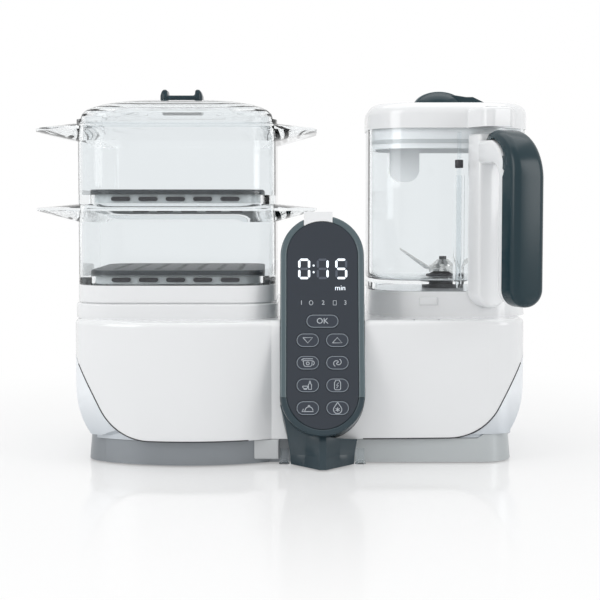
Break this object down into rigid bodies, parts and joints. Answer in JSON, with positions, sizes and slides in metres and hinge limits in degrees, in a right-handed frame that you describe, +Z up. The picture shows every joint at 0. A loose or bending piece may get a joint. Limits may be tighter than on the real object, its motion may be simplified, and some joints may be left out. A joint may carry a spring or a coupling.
{
  "type": "baby food maker",
  "caption": "Countertop baby food maker: stacked clear steamer baskets with a lid beside a blender jug, on a white base with a leaning control pod.",
  "frame": {"origin": "on the counter under the middle of the base", "axes": "+X to the right towards the jug, +Y to the back, +Z up"},
  "size_m": [0.3914, 0.2236, 0.2904],
  "materials": {
    "white_gloss": "moulded gloss white",
    "silver_skirt": "satin silver paint",
    "grey_plinth": "satin grey paint",
    "light_plinth": "satin light grey paint",
    "slate_plastic": "slate grey soft gloss",
    "dark_panel": "dark gloss face",
    "key_grey": "satin key",
    "clear_plastic": "clear moulded plastic",
    "dark_floor": "dark grey moulded plastic",
    "black_rubber": "matte rubber",
    "silicone": "grey silicone",
    "steel": "brushed stainless",
    "iron": "laminated iron and copper",
    "dark_plastic": "black moulded plastic",
    "circuit_board": "green laminate"
  },
  "bodies": {
    "base": {"base_shell": "white_gloss", "base_skirt": "silver_skirt", "bottom_pan": "grey_plinth", "rubber_feet": "black_rubber", "suction_feet": "clear_plastic", "pan_screws": "steel", "foot_block": "light_plinth", "pod_frame": "slate_plastic", "pod_beak": "slate_plastic", "pod_panel": "dark_panel", "pod_column": "white_gloss", "display_module": "dark_panel", "control_board": "circuit_board", "key_switches": "steel", "power_board": "circuit_board", "boiler_cup": "steel", "boiler_gasket": "silicone", "heating_element": "steel", "thermostat": "steel", "motor_can": "iron", "stator_core": "iron", "motor_bearings": "steel", "motor_bracket": "steel", "motor_mounts": "black_rubber", "jug_seat": "dark_plastic", "shaft_seal": "black_rubber", "jug_switch": "dark_plastic", "cord_gland": "black_rubber"},
    "rotor": {"motor_rotor": "iron", "cooling_fan": "dark_plastic", "drive_coupling": "dark_plastic"},
    "collector": {"juice_collector": "white_gloss"},
    "lower_basket": {"lower_basket": "clear_plastic"},
    "lower_floor": {"lower_floor": "dark_floor"},
    "upper_basket": {"upper_basket": "clear_plastic"},
    "upper_floor": {"upper_floor": "dark_floor"},
    "steam_lid": {"steam_lid": "clear_plastic", "lid_knob": "slate_plastic"},
    "jug": {"jug_wall": "clear_plastic", "jug_collar": "white_gloss", "jug_gasket": "silicone", "blade_bushing": "dark_plastic", "handle_core": "white_gloss", "grip_cover": "slate_plastic", "handle_screws": "steel"},
    "blades": {"blade_set": "steel", "blade_shaft": "dark_plastic"},
    "interlock_rod": {"interlock_rod": "clear_plastic"},
    "jug_lid": {"jug_lid": "white_gloss", "lid_gasket": "silicone"},
    "lid_flap": {"lid_flap": "slate_plastic"},
    "key_warm": {"key_warm": "key_grey"},
    "key_thaw": {"key_thaw": "key_grey"},
    "key_bottle": {"key_bottle": "key_grey"},
    "key_jar": {"key_jar": "key_grey"},
    "key_steam": {"key_steam": "key_grey"},
    "key_blend": {"key_blend": "key_grey"},
    "key_down": {"key_down": "key_grey"},
    "key_up": {"key_up": "key_grey"},
    "key_ok": {"key_ok": "key_grey"}
  },
  "joints": [
    {"name": "motor_spin", "type": "hinge", "parent": "base", "child": "rotor", "pos_m": [0.117, 0, 0.06], "axis": [0, 0, 1], "continuous": true},
    {"name": "collector_lift", "type": "slide", "parent": "base", "child": "collector", "axis": [0, 0, 1], "range_m": [0, 0.08]},
    {"name": "lower_basket_lift", "type": "slide", "parent": "collector", "child": "lower_basket", "axis": [0, 0, 1], "range_m": [0, 0.08]},
    {"name": "lower_floor_lift", "type": "slide", "parent": "lower_basket", "child": "lower_floor", "axis": [0, 0, 1], "range_m": [0, 0.04]},
    {"name": "upper_basket_lift", "type": "slide", "parent": "lower_basket", "child": "upper_basket", "axis": [0, 0, 1], "range_m": [0, 0.08]},
    {"name": "upper_floor_lift", "type": "slide", "parent": "upper_basket", "child": "upper_floor", "axis": [0, 0, 1], "range_m": [0, 0.04]},
    {"name": "steam_lid_lift", "type": "slide", "parent": "upper_basket", "child": "steam_lid", "axis": [0, 0, 1], "range_m": [0, 0.06]},
    {"name": "jug_lift", "type": "slide", "parent": "base", "child": "jug", "axis": [0, 0, 1], "range_m": [0, 0.08]},
    {"name": "blade_spin", "type": "hinge", "parent": "jug", "child": "blades", "pos_m": [0.117, 0, 0.14], "axis": [0, 0, 1], "continuous": true},
    {"name": "rod_slide", "type": "slide", "parent": "jug", "child": "interlock_rod", "axis": [0, 0, 1], "range_m": [0, 0.003]},
    {"name": "jug_lid_lift", "type": "slide", "parent": "jug", "child": "jug_lid", "axis": [0, 0, 1], "range_m": [0, 0.07]},
    {"name": "lid_flap_hinge", "type": "hinge", "parent": "jug_lid", "child": "lid_flap", "pos_m": [0.0935, 0, 0.2789], "axis": [0, -1, 0], "range_deg": [0, 90]},
    {"name": "key_warm_press", "type": "slide", "parent": "base", "child": "key_warm", "axis": [0, 0.9613, -0.2756], "range_m": [0, 0.0006], "stiffness_N_per_m": 400, "springref_m": -0.0004},
    {"name": "key_thaw_press", "type": "slide", "parent": "base", "child": "key_thaw", "axis": [0, 0.9613, -0.2756], "range_m": [0, 0.0006], "stiffness_N_per_m": 400, "springref_m": -0.0004},
    {"name": "key_bottle_press", "type": "slide", "parent": "base", "child": "key_bottle", "axis": [0, 0.9613, -0.2756], "range_m": [0, 0.0006], "stiffness_N_per_m": 400, "springref_m": -0.0004},
    {"name": "key_jar_press", "type": "slide", "parent": "base", "child": "key_jar", "axis": [0, 0.9613, -0.2756], "range_m": [0, 0.0006], "stiffness_N_per_m": 400, "springref_m": -0.0004},
    {"name": "key_steam_press", "type": "slide", "parent": "base", "child": "key_steam", "axis": [0, 0.9613, -0.2756], "range_m": [0, 0.0006], "stiffness_N_per_m": 400, "springref_m": -0.0004},
    {"name": "key_blend_press", "type": "slide", "parent": "base", "child": "key_blend", "axis": [0, 0.9613, -0.2756], "range_m": [0, 0.0006], "stiffness_N_per_m": 400, "springref_m": -0.0004},
    {"name": "key_down_press", "type": "slide", "parent": "base", "child": "key_down", "axis": [0, 0.9613, -0.2756], "range_m": [0, 0.0006], "stiffness_N_per_m": 400, "springref_m": -0.0004},
    {"name": "key_up_press", "type": "slide", "parent": "base", "child": "key_up", "axis": [0, 0.9613, -0.2756], "range_m": [0, 0.0006], "stiffness_N_per_m": 400, "springref_m": -0.0004},
    {"name": "key_ok_press", "type": "slide", "parent": "base", "child": "key_ok", "axis": [0, 0.9613, -0.2756], "range_m": [0, 0.0006], "stiffness_N_per_m": 400, "springref_m": -0.0004}
  ],
  "couplings": [
    {"joint": "blade_spin", "follows": "motor_spin", "ratio": 1}
  ]
}
